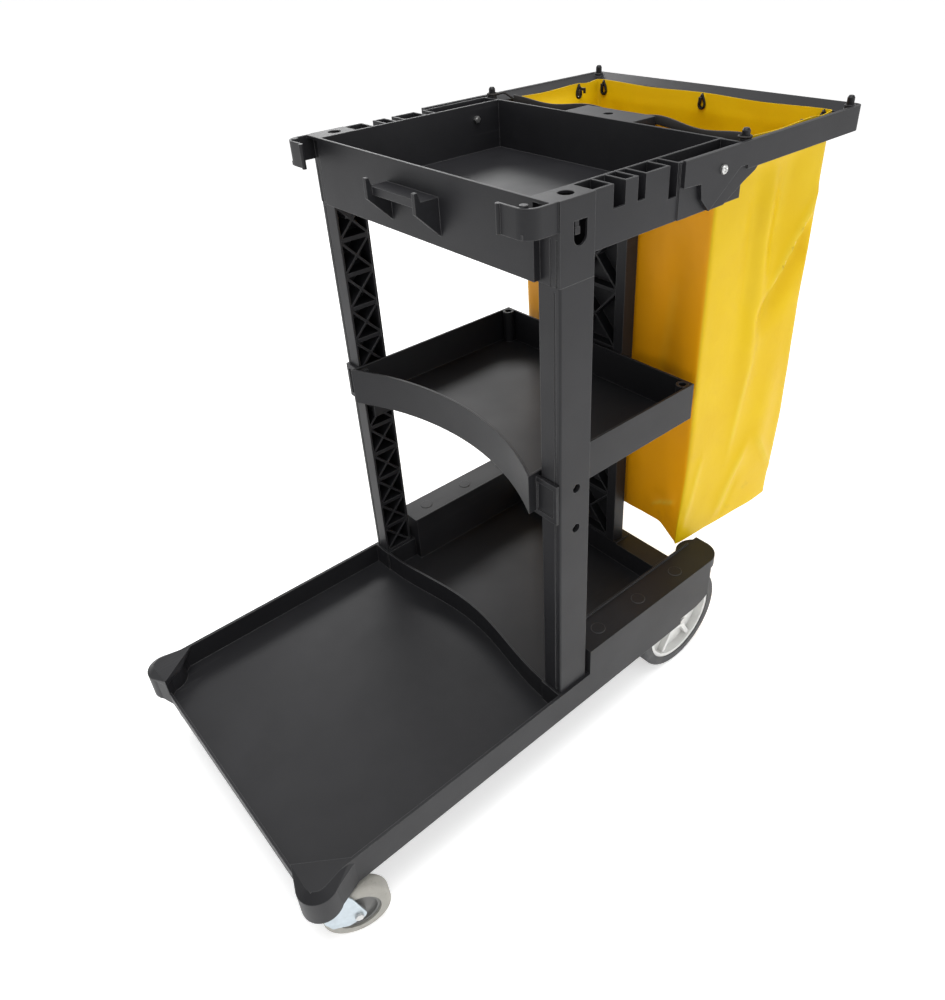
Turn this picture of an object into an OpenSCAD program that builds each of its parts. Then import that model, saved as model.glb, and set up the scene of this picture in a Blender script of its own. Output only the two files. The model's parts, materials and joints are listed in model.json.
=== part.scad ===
// Housekeeping cart: moulded base with a front platform, three uprights, a mid shelf,
// a top tray with tool grips, and a rear frame that carries a hanging bag.
// Millimetres, +Z up, +X towards the bag, origin on the floor under the middle.

/* [Overall] */
// Length over the front bumpers and the bag frame
overall_l = 1121; // [1090:1:1240]
// Width over the side skirts of the base
deck_w = 538; // [490:1:640]
// Height of the top tray's rim above the floor
tray_top = 965; // [880:1:1060]

/* [Base] */
// Height of the skirt's lower edge
skirt_z = 107; // [106:1:112]
// Height of the platform and rear deck floor
floor_z = 121; // [118:1:126]
// Height of the side walls' rim
rail_z = 164; // [150:1:180]
// Height of the low front lip
lip_z = 131; // [126:1:140]
// Height of the fenders over the rear wheels
fender_z = 217; // [212:1:240]
// Moulded wall thickness
wall = 4; // [3:0.5:5]
// Length of the front platform, from its lip to the uprights
platform_l = 470.5; // [380:0.5:520]
// Width of one fender
fender_w = 61; // [58:1:68]
// Depth of the ledge on the rear wall
ledge_w = 45; // [40:1:60]
// Reach of the fenders past the rear wall
fender_tail = 32; // [30:1:45]
// How far the front bumpers stand out sideways
bumper_side = 19; // [8:1:26]
// How far the front bumpers stand out in front of the lip
bumper_front = 14.5; // [8:0.5:22]

/* [Uprights] */
// Depth of a side upright along the cart
upright_d = 57; // [48:1:68]
// Thickness of a side upright across the cart
upright_t = 36; // [30:1:44]
// Width of the rear upright
rear_post_w = 138; // [110:1:170]
// Depth of the rear upright
rear_post_d = 27; // [22:1:32]

/* [Mid shelf] */
// Height of the shelf's rim
shelf_top = 588; // [480:1:700]
// Height of the shelf's walls
shelf_h = 64; // [50:1:80]
// Radius of the curved front wall
shelf_arc_r = 460; // [430:5:600]

/* [Top tray] */
// Length of the tray from its front face to its rear face
tray_l = 353.5; // [340:0.5:420]
// Depth inside the tray
tray_depth = 76; // [55:1:90]
// Height of the tray's corner posts, down to the seam with the uprights
post_h = 101; // [95:1:120]
// Height of the bent arms at the front corners
arm_h = 35; // [25:1:45]
// Reach of the bent arms in front of the uprights
arm_reach = 46; // [40:1:60]

/* [Bag frame and bag] */
// Length of the frame's side plates that overlap the tray
plate_l = 132; // [110:1:150]
// Height of the frame's skirt
frame_h = 36; // [30:1:44]
// Width of the frame's rail
frame_rail = 28; // [24:1:34]
// Gap between the bag's foot and the fenders
bag_clear = 28; // [10:1:200]
// Thickness of the bag's wall as modelled
bag_t = 2; // [1.5:0.5:3]

/* [Wheels] */
// Diameter of the fixed rear wheels
wheel_d = 203; // [190:1:204]
// Width of the rear tyres
tyre_w = 38; // [32:1:40]
// Diameter of the rear axle
axle_d = 12.7; // [10:0.1:14]
// Diameter of the swivel casters' wheels
caster_d = 100; // [92:1:100]
// Width of the casters' wheels
caster_w = 28; // [24:1:30]
// How far the casters trail behind their swivel axis
caster_trail = 36; // [30:1:40]
// Angle at which the casters stand
caster_angle = 18; // [0:1:60]

/* [Clearances] */
// Radial running clearance of the turning bores
run_clear = 0.05; // [0.02:0.01:0.09]
// Gap between fixed parts that sit next to each other
seat_gap = 0.3; // [0.2:0.1:0.4]

/* [Hidden] */
$fn = 48;
eps = 0.01;

// Places along the cart
front_x = -overall_l / 2;
rear_x = overall_l / 2;
lip_x = front_x + bumper_front;
up_x0 = lip_x + platform_l;
up_x1 = up_x0 + upright_d;
tray_x0 = up_x0 - 10;
tray_x1 = tray_x0 + tray_l;
deck_x1 = tray_x1 + 2;
deck_end = deck_x1 + ledge_w;
fender_x0 = up_x1 + 8;
fender_end = deck_end + fender_tail;
axle_x = tray_x1 - 18;
frame_x0 = tray_x1 - plate_l;

// Places across the cart
skirt_y = deck_w / 2;
up_y1 = skirt_y - 5;
up_y0 = up_y1 - upright_t;
basin_y = up_y0;
grip_y = up_y1 - 2;
frame_y = skirt_y + 0.5;
fender_y = skirt_y - fender_w;
shelf_y = up_y0 - 6;

// Heights
deck_t = 5;
seam_z = tray_top - post_h;
basin_z = tray_top - tray_depth;
front_wall_z = tray_top - 98;
side_wall_z = tray_top - 72;
frame_top = tray_top + 2;
frame_bot = frame_top - frame_h;
shelf_bot = shelf_top - shelf_h;
axle_z = wheel_d / 2;

// Base details
bumper_r = 30;
bumper_l = 82;
bumper_in = 53;
chamfer_h = 10;
chamfer_w = 13;
divider_sag = 27;
foot_pocket = [upright_d - 17, upright_t - 16, 24];
hanger_w = 44;
hanger_drop = 18.5;
hanger_t = 12;
bead = 3;
rib_t = 3;

// Upright lattice
web_t = 4;
groove_w = 3;
rib_deep = upright_t - web_t - 1;
cell_n = 12;
rear_cell_n = 7;
screw_zs = [shelf_top - 24, shelf_top - 94];
screw_x = up_x0 + upright_d / 2 + 3;
screw_well_d = 14;
screw_d = 6;
seat_x = up_x0 + 29;
seat_y = up_y1 - 20;
seat_t = 4;
seat_screw_d = 5;
seat_screw_l = 22;

// Tray details
skin = 3.5;
grip_xs = [[83, 110], [126, 146], [184, 206]];
grip_zs = [29, 30, 41];
arm_r = 20;
window_x = up_x0 + 33;
window_z = tray_top - 46;
window_d = 22;
window_h = 19;
hook_y = 54;
hook_out = 37;
hook_t = 3;
hook_tip_z = tray_top - 20;
hook_notch = 12;
hook_front_h = 27;
hook_foot_z = tray_top - 84;
cap_d = 52;
cap_h = 60;
cap_hole_d = 16;
web_hole_d = 20;

// Bag frame details
plate_t = frame_y - up_y1 - seat_gap;
bolt_x = frame_x0 + 78;
bolt_z = tray_top - 23;
bolt_d = 6;
bolt_play = 0.4;
plate_drop = 38;
gusset_set = 2.5;
slope = 9;
peg_d = 11;
peg_h = 13;
lip_h = 11;
bag_gap = 3;
bag_x0 = deck_end - 13;
bag_mid_x = tray_x1 + cap_d + 4;
bag_x1 = rear_x - frame_rail - bag_gap;
bag_y = frame_y - frame_rail - bag_gap;
bag_y_front = bag_y - 34;
bag_mid_y = rear_post_w / 2 + 6;
bag_top = frame_top - slope + 2;
bag_bot = fender_z + bag_clear;
hook_pin_d = 5;
hook_drop = 9;
hook_z = frame_top - slope - lip_h / 2 - 1;
side_hook_x = rear_x - frame_rail - 60;
side_hook_in = bag_gap + (bag_y - bag_y_front) * (bag_x1 - side_hook_x) / (bag_x1 - bag_x0);

// Wheels
wheel_y = skirt_y - (fender_w - wall) / 2 - 1;
tyre_t = 19;
rim_r = wheel_d / 2 - tyre_t;
rim_w = tyre_w - 4;
bush_r = axle_d / 2 + 4;
hub_r = 19;
hub_w = tyre_w + 2;
spoke_n = 6;
axle_len = 2 * (wheel_y + hub_w / 2 + 5);
hub_in = wheel_y - hub_w / 2 - seat_gap;
washer_t = 2;
caster_x = front_x + 38;
caster_y = skirt_y + bumper_side - 38;
caster_tyre_t = 16;
caster_hub_r = caster_d / 2 - caster_tyre_t;
c_axle_z = caster_d / 2;
c_axle_d = 8;
c_bush_r = 6.5;
stem_d = 11;
head_t = 4;
stem_h = 38;
collar_t = 3;
fork_t = 2.5;
fork_top = skirt_z - collar_t - seat_gap;
fork_in = caster_w / 2 + 2;
crown_r = 20;

// ---------- helpers ----------

// A box between two corners
module block(a, b) {
    translate(a) cube([b[0] - a[0], b[1] - a[1], b[2] - a[2]]);
}

// Both hands of something drawn on the +Y side
module both() {
    children();
    mirror([0, 1, 0]) children();
}

// An outline in X and Z, extruded across the cart from y0 to y1
module side_slab(y0, y1) {
    translate([0, y1, 0]) rotate([90, 0, 0]) linear_extrude(y1 - y0) children();
}

// A row of square cells of a lattice: each cell keeps a border and an X
module lattice(w, h, n, t) {
    ch = h / n;
    s = t * 0.75;
    difference() {
        square([w, h]);
        for (i = [0 : n - 1]) translate([0, i * ch]) {
            polygon([[t + s, t], [w - t - s, t], [w / 2, ch / 2 - s]]);
            polygon([[t + s, ch - t], [w - t - s, ch - t], [w / 2, ch / 2 + s]]);
            polygon([[t, t + s], [w / 2 - s, ch / 2], [t, ch - t - s]]);
            polygon([[w - t, t + s], [w / 2 + s, ch / 2], [w - t, ch - t - s]]);
        }
    }
}

// ---------- base ----------

// Line of the divider between the platform and the rear deck, bowed to the rear
function divider_x(y) = up_x0 - 2 + divider_sag * (1 + cos(180 * y / (up_y0 + 6))) / 2;

module divider_plan(t) {
    ys = [for (i = [-12 : 12]) i * (up_y0 + 6) / 12];
    polygon(concat([for (y = ys) [divider_x(y), y]],
                   [for (i = [24 : -1 : 0]) [divider_x(ys[i]) + t, ys[i]]]));
}

// Plan of one front bumper, drawn smaller all round the outside by an inset
module bumper_plan(inset) {
    r = bumper_r - inset;
    cx = front_x + bumper_r;
    cy = skirt_y + bumper_side - bumper_r;
    translate([cx, cy]) circle(r);
    polygon([
        [lip_x, skirt_y - bumper_in], [cx - r, cy], [cx, cy + r],
        [front_x + bumper_l, skirt_y - inset / 3], [front_x + bumper_l - 12, skirt_y - wall - 1]]);
}

module bumper() {
    translate([0, 0, skirt_z]) linear_extrude(rail_z - chamfer_h - skirt_z) bumper_plan(0);
    hull() {
        translate([0, 0, rail_z - chamfer_h]) linear_extrude(eps) bumper_plan(0, $fn = 32);
        translate([0, 0, rail_z - eps]) linear_extrude(eps) bumper_plan(chamfer_w, $fn = 32);
    }
}

// Plan of one fender, drawn smaller all round by an inset
module fender_plan(inset) {
    r = 36 - inset;
    x0 = fender_x0 + inset;
    x1 = fender_end - inset;
    y0 = fender_y + inset;
    y1 = skirt_y - inset;
    translate([x0, y0]) square([x1 - r - x0, y1 - y0]);
    translate([x0, y0]) square([x1 - x0, y1 - r - y0]);
    translate([x1 - r, y1 - r]) circle(r);
}

// What is cut from the skirt so that the lower and rear part of the wheel shows
module arch_plan() {
    z0 = skirt_z + 14;
    z1 = fender_z - 20;
    difference() {
        union() {
            translate([axle_x - 14, 0]) square([fender_end + 5 - axle_x + 14, z0]);
            translate([axle_x + 22, 0]) square([fender_end + 5 - axle_x - 22, z1]);
        }
        translate([axle_x + 18, z1 + 12]) circle(z1 + 12 - z0);
    }
}

module fender() {
    difference() {
        translate([0, 0, skirt_z]) linear_extrude(fender_z - skirt_z) fender_plan(0);
        translate([0, 0, skirt_z - 1]) linear_extrude(fender_z - wall - skirt_z + 1) fender_plan(wall);
        side_slab(fender_y + wall + 1, skirt_y + 1) arch_plan();
        block([deck_end, fender_y - 1, 0], [fender_end + 5, skirt_y + 1, fender_z - 20]);
    }
    block([fender_x0, fender_y, fender_z - 1], [deck_end + 4, fender_y + bead, fender_z + bead]);
    for (x = [fender_x0 + 48, fender_x0 + 150, fender_x0 + 252])
        translate([x, skirt_y - fender_w / 2 + 2, fender_z - 1]) cylinder(d = 24, h = 1.8);
}

// The foot that carries one side upright, with the pocket for its tongue
module foot() {
    difference() {
        block([up_x0 - 4, up_y0 - 4, skirt_z], [fender_x0 + 1, skirt_y, rail_z]);
        block([up_x0 + 8.5, up_y0 + 8, rail_z - foot_pocket[2]],
              [up_x0 + 8.5 + foot_pocket[0], up_y0 + 8 + foot_pocket[1], rail_z + 1]);
    }
}

module base_deck() {
    rear_wall_z = rail_z + 1;
    color([0.17, 0.17, 0.18]) difference() {
        union() {
            block([lip_x, -skirt_y, floor_z - deck_t], [fender_x0 + 1, skirt_y, floor_z]);
            block([up_x0, -fender_y - 1, floor_z - deck_t], [deck_x1 + 1, fender_y + 1, floor_z]);
            block([lip_x, -skirt_y, skirt_z], [lip_x + wall, skirt_y, lip_z]);
            translate([0, 0, floor_z - 1]) linear_extrude(rail_z - floor_z + 1) divider_plan(wall);
            both() {
                block([lip_x, skirt_y - wall - 1, skirt_z], [fender_x0 + 1, skirt_y, rail_z]);
                bumper();
                foot();
                fender();
                // axle hangers under the rear deck
                block([axle_x - hanger_w / 2, fender_y - hanger_t, axle_z - hanger_drop],
                      [axle_x + hanger_w / 2, hub_in - washer_t, floor_z - 1]);
            }
            // rear wall with its ledge
            block([deck_x1, -fender_y - 1, skirt_z], [deck_x1 + wall, fender_y + 1, rear_wall_z]);
            block([deck_x1, -fender_y - 1, rear_wall_z - wall], [deck_end, fender_y + 1, rear_wall_z]);
            block([deck_end - wall, -fender_y - 1, skirt_z], [deck_end, fender_y + 1, rear_wall_z]);
            // raised seat of the rear upright
            block([deck_x1, -rear_post_w / 2 - 6, rear_wall_z - 1],
                  [deck_x1 + rear_post_d + 9, rear_post_w / 2 + 6, rear_wall_z + 3]);
            // ribs under the floor
            for (y = [-150, -75, 0, 75, 150])
                block([lip_x + 2, y - rib_t / 2, skirt_z], [deck_x1 + 2, y + rib_t / 2, floor_z - 1]);
            for (i = [1 : 6])
                translate([lip_x + i * platform_l / 6 - rib_t / 2, -skirt_y + 2, skirt_z])
                    cube([rib_t, 2 * skirt_y - 4, floor_z - skirt_z - 1]);
            for (x = [axle_x - 130, axle_x - hanger_w / 2])
                block([x, -fender_y, skirt_z], [x + rib_t, fender_y, floor_z - 1]);
        }
        translate([axle_x, 0, axle_z]) rotate([90, 0, 0])
            cylinder(d = axle_d + 2 * run_clear, h = 2 * skirt_y, center = true);
        both() translate([caster_x, caster_y, skirt_z - 1])
            cylinder(d = stem_d + 2 * run_clear, h = stem_h + 1.5);
    }
}

// ---------- uprights ----------

module side_upright() {
    h = seam_z - rail_z;
    color([0.2, 0.2, 0.21]) difference() {
        union() {
            // outer web with a rounded front edge
            difference() {
                block([up_x0, up_y1 - web_t, rail_z], [up_x1, up_y1, seam_z]);
                block([up_x0 - 1, up_y1 - 3, rail_z - 1], [up_x0 + 3, up_y1 + 1, seam_z + 1]);
            }
            translate([up_x0 + 3, up_y1 - 3, rail_z]) cylinder(r = 3, h = h);
            translate([up_x0, 0, rail_z])
                side_slab(up_y1 - web_t - rib_deep, up_y1 - web_t) lattice(upright_d, h, cell_n, 3.5);
            // front and rear flanges reach a little past the lattice
            block([up_x0, up_y0, rail_z], [up_x0 + 3.5, up_y1 - 3, seam_z]);
            block([up_x1 - 3.5, up_y0, rail_z], [up_x1, up_y1 - web_t, seam_z]);
            // tongue in the foot
            block([up_x0 + 8.5 + seat_gap, up_y0 + 8 + seat_gap, rail_z - foot_pocket[2] + 1],
                  [up_x0 + 8.5 + foot_pocket[0] - seat_gap, up_y0 + 8 + foot_pocket[1] - seat_gap,
                   rail_z + 2]);
            // solid rows around the shelf screws
            for (z = screw_zs)
                block([screw_x - 12, up_y0, z - 12], [screw_x + 12, up_y1 - 1, z + 12]);
            // solid block under the tray's seat
            block([seat_x - 11, up_y0 + 2, seam_z - seat_screw_l - 4], [seat_x + 11, up_y1 - 1, seam_z]);
        }
        translate([seat_x, seat_y, seam_z - seat_screw_l - 1])
            cylinder(d = seat_screw_d + 2 * run_clear, h = seat_screw_l + 2);
        translate([up_x0 - 1, up_y1 - 11, rail_z + 6])
            cube([2, groove_w, h - 12]);
        for (z = screw_zs) translate([screw_x, up_y1 + 1, z]) rotate([90, 0, 0]) {
            cylinder(d = screw_well_d, h = 12);
            cylinder(d = screw_d + bolt_play, h = upright_t + 5);
        }
    }
}

module left_upright() {
    mirror([0, 1, 0]) side_upright();
}

module right_upright() {
    side_upright();
}

module rear_upright() {
    z0 = rail_z + 4;
    z1 = tray_top - cap_h;
    x0 = tray_x1 + seat_gap;
    color([0.15, 0.15, 0.16]) {
        difference() {
            translate([x0, -rear_post_w / 2, z0]) cube([rear_post_d, rear_post_w, z1 - z0]);
            translate([x0 - 1, -rear_post_w / 2 + 20, z0 - 1])
                cube([rear_post_d - web_t + 1, rear_post_w - 40, z1 - z0 + 2]);
            both() translate([x0 + 3.5, rear_post_w / 2 - 17, z0 - 1])
                cube([rear_post_d - 7.5, 13, z1 - z0 + 2]);
        }
        // lattice inside the open front
        translate([x0 + 4, 0, 0]) rotate([0, 0, 90]) translate([-rear_post_w / 2 + 19, 0, z0])
            side_slab(-(rear_post_d - web_t - 3), 0) lattice(rear_post_w - 38, z1 - z0, rear_cell_n, 3);
    }
}

// ---------- mid shelf ----------

// Plan of the shelf, drawn smaller all round by an inset
module shelf_plan(inset) {
    cx = up_x0 + 37 - shelf_arc_r;
    r = shelf_arc_r + inset;
    y = shelf_y - inset;
    x0 = cx + sqrt(r * r - y * y) - 5;
    difference() {
        translate([x0, -y]) square([tray_x1 - inset - x0, 2 * y]);
        translate([cx, 0]) circle(r, $fn = 180);
    }
}

// The tab that hooks round the front of one side upright
module shelf_tab() {
    x1 = up_x0 - seat_gap;
    x0 = x1 - 5;
    z0 = shelf_bot - 6;
    z1 = shelf_top - 6;
    difference() {
        block([x0, shelf_y - 9, z0], [x1, up_y1 - 2, z1]);
        block([x0 - 1, shelf_y + 2, z0 + 8], [x0 + 2, up_y1 - 8, z1 - 8]);
    }
    block([x0, shelf_y - 9, z0], [up_x0 + 9, shelf_y - 1, z1]);
}

module mid_shelf() {
    color([0.19, 0.19, 0.2]) difference() {
        union() {
            difference() {
                translate([0, 0, shelf_bot]) linear_extrude(shelf_h) shelf_plan(0);
                translate([0, 0, shelf_bot + skin]) linear_extrude(shelf_h) shelf_plan(skin);
            }
            both() {
                shelf_tab();
                // plate that the upright's screws go into
                block([screw_x - 18, shelf_y - 1, screw_zs[1] - 14],
                      [screw_x + 18, up_y0 - seat_gap, shelf_top - 4]);
                // hollow boss in the rear corner
                translate([tray_x1 - 13, shelf_y - 13, shelf_bot + 1]) cylinder(d = 21, h = shelf_h - 1);
            }
            // ribs under the floor
            for (y = [-100, 0, 100])
                block([up_x0 + 44, y - rib_t / 2, shelf_bot - 6],
                      [tray_x1 - 2, y + rib_t / 2, shelf_bot + 1]);
        }
        both() {
            translate([tray_x1 - 13, shelf_y - 13, shelf_bot - 1]) cylinder(d = 13, h = shelf_h + 2);
            for (z = screw_zs) translate([screw_x, up_y0 + 1, z]) rotate([90, 0, 0])
                cylinder(d = screw_d, h = 7.5);
        }
    }
}

// ---------- top tray ----------

// One bent arm at a front corner, seen from above
module arm_plan(t) {
    x0 = up_x0 - arm_reach;
    y1 = grip_y;
    difference() {
        union() {
            translate([x0 + arm_r, y1 - arm_r]) circle(arm_r);
            translate([x0 + arm_r, y1 - t]) square([up_x0 + 4 - x0 - arm_r, t]);
            translate([x0, basin_y - 10]) square([t, y1 - arm_r - basin_y + 10]);
            translate([x0, basin_y - 14]) circle(d = t + 3);
            translate([x0, basin_y - 14]) square([t, 8]);
        }
        translate([x0 + arm_r, y1 - arm_r]) circle(arm_r - t);
        translate([x0 + arm_r, y1 - 2 * arm_r]) square([2 * arm_r, 2 * arm_r - t]);
        translate([x0 + t, y1 - 2 * arm_r]) square([2 * arm_r, arm_r]);
    }
}

// Plan of the wall that stands out beside the basin, with its cross webs
module grip_walls() {
    x1 = tray_x1 - 2;
    translate([up_x1 - 2, grip_y - skin]) square([x1 - up_x1 + 2, skin]);
    translate([frame_x0 - 2, up_y1 - skin - 2]) square([x1 - frame_x0 + 2, skin + 2]);
    for (g = grip_xs) for (x = [tray_x0 + g[0] + 13, tray_x0 + g[1] + 13 - 3])
        translate([x, basin_y - 1]) square([3, grip_y - basin_y]);
    translate([x1 - skin, basin_y - 1]) square([skin, up_y1 - basin_y]);
}

module tray_side() {
    // corner post over the upright
    difference() {
        block([up_x0, up_y0 - 1, seam_z], [up_x1, up_y1, tray_top]);
        block([up_x0 + skin, up_y0 + 2, seam_z + seat_t], [up_x1 - skin, up_y1 - skin, tray_top - skin]);
        translate([seat_x, seat_y, seam_z - 1]) cylinder(d = seat_screw_d + 2 * run_clear, h = seat_t + 2);
        // opening in the outer face
        translate([window_x - window_d / 2, up_y1 - 6, window_z]) cube([window_d, 8, window_h]);
        translate([window_x, up_y1 + 2, window_z]) rotate([90, 0, 0]) cylinder(d = window_d, h = 8);
        for (y = [up_y1 - 7, up_y1 - 17])
            translate([up_x0 - 1, y, seam_z - 1]) cube([2, groove_w, post_h - arm_h - 8]);
    }
    // catch that hangs inside the opening
    block([window_x - 7, up_y1 - 9, window_z + 2], [window_x + 1, up_y1 - 2, window_z + 11]);
    block([window_x - 6, up_y1 - 7, window_z + 10], [window_x, up_y1 - 3, window_z + window_h + 2]);
    // bent arm and the web behind it
    translate([0, 0, tray_top - arm_h]) linear_extrude(arm_h) arm_plan(skin);
    block([up_x0 - 10, basin_y - 2, tray_top - 4], [up_x0 + 1, grip_y - 1, tray_top]);
    // stud on the arm
    translate([up_x0 - arm_reach + 9, grip_y - 16, tray_top - arm_h]) cylinder(d = 10, h = arm_h + 2);
    translate([up_x0 - arm_reach + 1, grip_y - 21, tray_top - arm_h]) cube([10, 10, 6]);
    // tool grips
    difference() {
        translate([0, 0, side_wall_z]) linear_extrude(tray_top - side_wall_z) grip_walls();
        for (i = [0 : 2])
            block([tray_x0 + 13 + grip_xs[i][0] + 3, grip_y - skin - 1, tray_top - grip_zs[i]],
                  [tray_x0 + 13 + grip_xs[i][1] - 3, up_y1 + 1, tray_top + 1]);
    }
    // floor that closes the grips underneath
    block([up_x1 - 2, basin_y - 1, side_wall_z], [tray_x1 - 2, grip_y - 1, side_wall_z + skin]);
}

// Two hooks with raised tips and a ledge between them, for hanging a handle
module front_hook() {
    tip_x = tray_x0 - hook_out;
    notch_z = hook_tip_z - hook_notch;
    both() side_slab(hook_y - hook_t, hook_y + hook_t) polygon([
        [tray_x0 + 1, notch_z], [tip_x + 9, notch_z], [tip_x + 5, hook_tip_z], [tip_x, hook_tip_z],
        [tip_x, hook_tip_z - hook_front_h], [tray_x0 + 1, hook_foot_z]]);
    block([tip_x + 9, -hook_y, notch_z - 4], [tray_x0 + 1, hook_y, notch_z]);
    block([tip_x + 9, -hook_y, notch_z - 11], [tip_x + 12, hook_y, notch_z]);
}

module top_tray() {
    color([0.18, 0.18, 0.19]) difference() {
        union() {
            // basin
            difference() {
                block([tray_x0, -basin_y, basin_z - skin], [tray_x1, basin_y, tray_top]);
                block([tray_x0 + skin, -basin_y + skin, basin_z],
                      [tray_x1 - skin, basin_y - skin, tray_top + 1]);
            }
            // front wall runs lower than the floor
            block([tray_x0, -up_y0 - 2, front_wall_z], [tray_x0 + skin, up_y0 + 2, tray_top]);
            both() {
                block([tray_x0, up_y0 - 1, front_wall_z], [up_x0 + 1, up_y0 + 3, tray_top]);
                tray_side();
            }
            front_hook();
            // cap over the rear upright
            difference() {
                block([tray_x1 - 1, -rear_post_w / 2, tray_top - cap_h],
                      [tray_x1 + cap_d, rear_post_w / 2, tray_top]);
                block([tray_x1 - 2, -rear_post_w / 2 + skin, tray_top - cap_h - 1],
                      [tray_x1 + cap_d - skin, rear_post_w / 2 - skin, tray_top - skin]);
                translate([tray_x1 + 24, 0, tray_top - 10]) cylinder(d = cap_hole_d, h = 20);
            }
            // ribs under the floor
            for (y = [-110, 0, 110])
                block([tray_x0 + 2, y - rib_t / 2, basin_z - 12], [tray_x1 - 2, y + rib_t / 2, basin_z - 1]);
        }
        both() {
            // hole through the web of the grip
            translate([seat_x, seat_y, tray_top - 8]) cylinder(d = web_hole_d, h = 12);
            // bore for the bag frame's bolt
            translate([bolt_x, up_y1 + 1, bolt_z]) rotate([90, 0, 0])
                cylinder(d = bolt_d + bolt_play, h = upright_t + 8);
        }
    }
}

// ---------- bag frame ----------

// Side view of one arm of the frame
module arm_side() {
    polygon([
        [frame_x0, frame_top], [frame_x0, frame_bot + 3], [frame_x0 + 34, frame_bot + 1],
        [frame_x0 + 38, frame_bot - 20], [frame_x0 + 56, frame_bot - plate_drop],
        [bolt_x + 40, frame_bot + 6], [tray_x1 + 45, frame_bot + 6], [tray_x1 + 45, frame_bot], [rear_x, frame_bot], [rear_x, frame_top]]);
}

// Side view of the gusset that stands behind the arm's slanted edge
module gusset_side() {
    polygon([
        [frame_x0 + 60, frame_bot + 8], [frame_x0 + 60, frame_bot - plate_drop],
        [frame_x0 + 90, frame_bot - plate_drop], [frame_x0 + plate_l, frame_bot - 16],
        [tray_x1 + 24, frame_bot - 6], [tray_x1 + 40, frame_bot + 8]]);
}

// Cross section of the rail: skirt outside, top falling to the inner lip
module rail_section() {
    polygon([
        [0, -frame_h], [0, 0], [3, 0], [frame_rail, -slope], [frame_rail, -slope - lip_h],
        [frame_rail - 3, -slope - lip_h], [frame_rail - 3, -slope - 3.5],
        [plate_t, -4], [plate_t, -frame_h]]);
}

module bag_frame() {
    rail_x0 = tray_x1 + 2;
    color([0.22, 0.22, 0.23]) difference() {
        union() {
            both() {
                side_slab(frame_y - plate_t, frame_y) arm_side();
                side_slab(frame_y - plate_t, frame_y - gusset_set) gusset_side();
                translate([rail_x0, frame_y, frame_top]) rotate([90, 0, 90]) mirror([1, 0, 0])
                    linear_extrude(rear_x - rail_x0) rail_section();
            }
            translate([rear_x, frame_y, frame_top]) rotate([90, 0, 0]) mirror([1, 0, 0])
                linear_extrude(2 * frame_y) rail_section();
            // flat seats of the pegs
            both() for (p = peg_spots) translate([p[0], p[1], frame_top - slope])
                cylinder(d = peg_d + 5, h = slope);
        }
        both() {
            translate([bolt_x, frame_y + 1, bolt_z]) rotate([90, 0, 0])
                cylinder(d = bolt_d + bolt_play, h = plate_t + 2);
            // rounded rear corner
            translate([rear_x - 14, frame_y - 14, frame_bot - 1]) difference() {
                cube([15, 15, frame_h + 2]);
                cylinder(r = 14, h = frame_h + 2);
            }
        }
    }
}

// Places where the pegs stand on the rail
peg_spots = [[tray_x1 + 10, frame_y - 14], [rear_x - 15, frame_y - 15]];

module frame_pegs() {
    color([0.06, 0.06, 0.07]) both() for (p = peg_spots) translate([p[0], p[1], frame_top]) {
        cylinder(d = peg_d, h = peg_h - 3);
        translate([0, 0, peg_h - 3]) cylinder(d1 = peg_d, d2 = peg_d - 4, h = 3);
    }
}

// Hooks on the rail's inner lip: place, direction, and how far in the bag's wall is
hook_spots = [
    [rear_x - frame_rail, 0, 0, bag_gap],
    [rear_x - frame_rail, bag_y - 14, 0, bag_gap],
    [rear_x - frame_rail, -bag_y + 14, 0, bag_gap],
    [side_hook_x, frame_y - frame_rail, 90, side_hook_in],
    [side_hook_x, -frame_y + frame_rail, -90, side_hook_in]];

module at_hook(h) {
    translate([h[0], h[1], hook_z]) rotate([0, 0, h[2]]) children();
}

module bag_hooks() {
    color([0.1, 0.1, 0.11]) for (h = hook_spots) at_hook(h) {
        reach = h[3] + bag_t + 6;
        translate([-reach, 0, 0]) rotate([0, 90, 0]) cylinder(d = hook_pin_d, h = reach);
        translate([-reach, 0, -hook_drop + hook_pin_d / 2]) cylinder(d = hook_pin_d, h = hook_drop);
    }
}

// ---------- bag ----------

module bag_plan(inset) {
    half = [
        [bag_x1 - inset, bag_y - inset], [bag_x0 + inset, bag_y_front - inset],
        [bag_mid_x + inset, bag_mid_y]];
    polygon(concat(half, [for (i = [2 : -1 : 0]) [half[i][0], -half[i][1]]]));
}

module bag() {
    eye_r = hook_pin_d / 2 + 1;
    color([0.93, 0.78, 0.02]) difference() {
        translate([0, 0, bag_bot]) linear_extrude(bag_top - bag_bot) bag_plan(0);
        translate([0, 0, bag_bot + bag_t]) linear_extrude(bag_top - bag_bot) bag_plan(bag_t);
        // eyelets, hanging on the tops of the hooks
        for (h = hook_spots) at_hook(h) translate([-h[3] - bag_t - 3, 0, seat_gap - 1]) rotate([0, 90, 0])
            cylinder(r = eye_r, h = bag_t + 6);
    }
}

// ---------- fasteners ----------

module frame_bolts() {
    color("silver") both() translate([bolt_x, frame_y, bolt_z]) rotate([90, 0, 0]) {
        translate([0, 0, -3]) cylinder(d = 12, h = 3);
        cylinder(d = bolt_d, h = frame_y - basin_y + skin + 6);
    }
}

module frame_nuts() {
    color("silver") both() translate([bolt_x, basin_y - skin, bolt_z]) rotate([90, 0, 0])
        difference() {
            cylinder(d = 11.5, h = 5, $fn = 6);
            translate([0, 0, -1]) cylinder(d = bolt_d + 2 * run_clear, h = 7);
        }
}

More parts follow.
